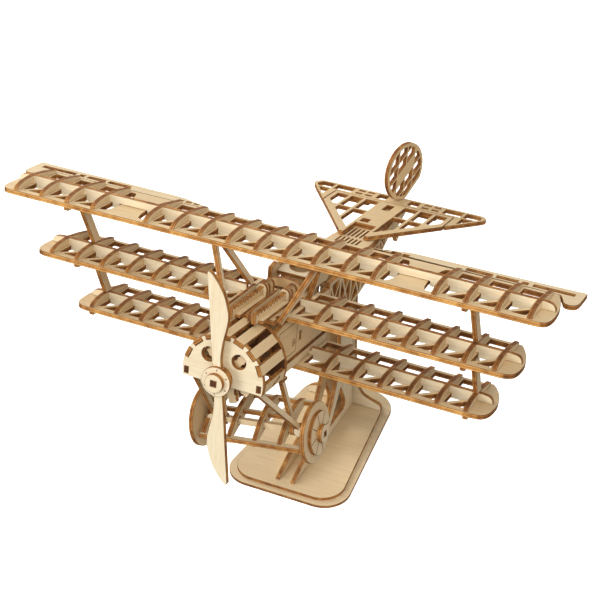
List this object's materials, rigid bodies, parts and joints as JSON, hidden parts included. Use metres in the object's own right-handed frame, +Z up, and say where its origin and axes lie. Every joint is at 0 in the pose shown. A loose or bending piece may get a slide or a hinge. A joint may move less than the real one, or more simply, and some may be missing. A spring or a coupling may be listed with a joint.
{
  "type": "triplane scale model",
  "caption": "Laser-cut plywood display model of a three-winged aeroplane with open rib-and-spar wings, slatted cowl, spinning propeller, wheels and rudder, on a flat two-layer stand.",
  "frame": {"origin": "centre of the stand's flat underside", "axes": "+Z up, nose towards -Y, right wing towards +X"},
  "size_m": [0.299, 0.2629, 0.1736],
  "materials": {
    "ply_pale": "bare plywood face",
    "ply_tan": "bare plywood face",
    "ply_warm": "laser-browned plywood edge"
  },
  "bodies": {
    "airframe": {"aileron_left": "ply_pale", "aileron_right": "ply_pale", "axle_fairing": "ply_tan", "bottom_wing_rib_frame": "ply_warm", "bottom_wing_skin": "ply_pale", "cabane_strut_front_left": "ply_warm", "cabane_strut_front_right": "ply_warm", "cabane_strut_rear_left": "ply_warm", "cabane_strut_rear_right": "ply_warm", "cockpit_bulkhead": "ply_tan", "cockpit_side_left": "ply_tan", "cockpit_side_right": "ply_tan", "cowl_front_plate": "ply_pale", "cowl_rear_ring": "ply_tan", "cowl_stave_1": "ply_tan", "cowl_stave_2": "ply_tan", "cowl_stave_3": "ply_tan", "cowl_stave_4": "ply_tan", "cowl_stave_5": "ply_tan", "cowl_stave_6": "ply_tan", "cowl_stave_7": "ply_tan", "cowl_stave_8": "ply_tan", "cowl_stave_9": "ply_tan", "elevator": "ply_pale", "fuselage_deck_aft": "ply_pale", "fuselage_deck_front": "ply_pale", "fuselage_floor": "ply_tan", "fuselage_side_aft_left": "ply_tan", "fuselage_side_aft_right": "ply_tan", "fuselage_side_front_left": "ply_tan", "fuselage_side_front_right": "ply_tan", "gear_strut_front_left": "ply_warm", "gear_strut_front_right": "ply_warm", "gear_strut_rear_left": "ply_warm", "gear_strut_rear_right": "ply_warm", "gun_left": "ply_warm", "gun_right": "ply_warm", "interplane_strut_lower_left": "ply_warm", "interplane_strut_lower_right": "ply_warm", "interplane_strut_upper_left": "ply_warm", "interplane_strut_upper_right": "ply_warm", "mid_wing_rib_frame_left": "ply_warm", "mid_wing_rib_frame_right": "ply_warm", "mid_wing_skin_left": "ply_pale", "mid_wing_skin_right": "ply_pale", "stand_column_left": "ply_warm", "stand_column_right": "ply_warm", "stand_cross_plate": "ply_pale", "stand_lower_plate": "ply_tan", "stand_upper_plate": "ply_pale", "tail_skid": "ply_warm", "tailplane": "ply_pale", "top_wing_rib_frame": "ply_warm", "top_wing_skin": "ply_pale"},
    "propeller": {"propeller": "ply_pale", "rotary_engine": "ply_warm"},
    "wheelset": {"wheel_left": "ply_pale", "wheel_right": "ply_pale", "axle": "ply_warm"},
    "rudder_blade": {"rudder": "ply_tan"}
  },
  "joints": [
    {"name": "propeller_spin", "type": "hinge", "parent": "airframe", "child": "propeller", "pos_m": [0, -0.08798, 0.11503], "axis": [0, 0.9781, -0.2079], "continuous": true},
    {"name": "wheels_spin", "type": "hinge", "parent": "airframe", "child": "wheelset", "pos_m": [0, -0.07471, 0.06539], "axis": [0.9903, 0.0289, 0.1361], "continuous": true},
    {"name": "rudder_turn", "type": "hinge", "parent": "airframe", "child": "rudder_blade", "pos_m": [0, 0.11778, 0.11628], "axis": [0, 0.2079, 0.9781], "range_deg": [-10, 40]}
  ]
}
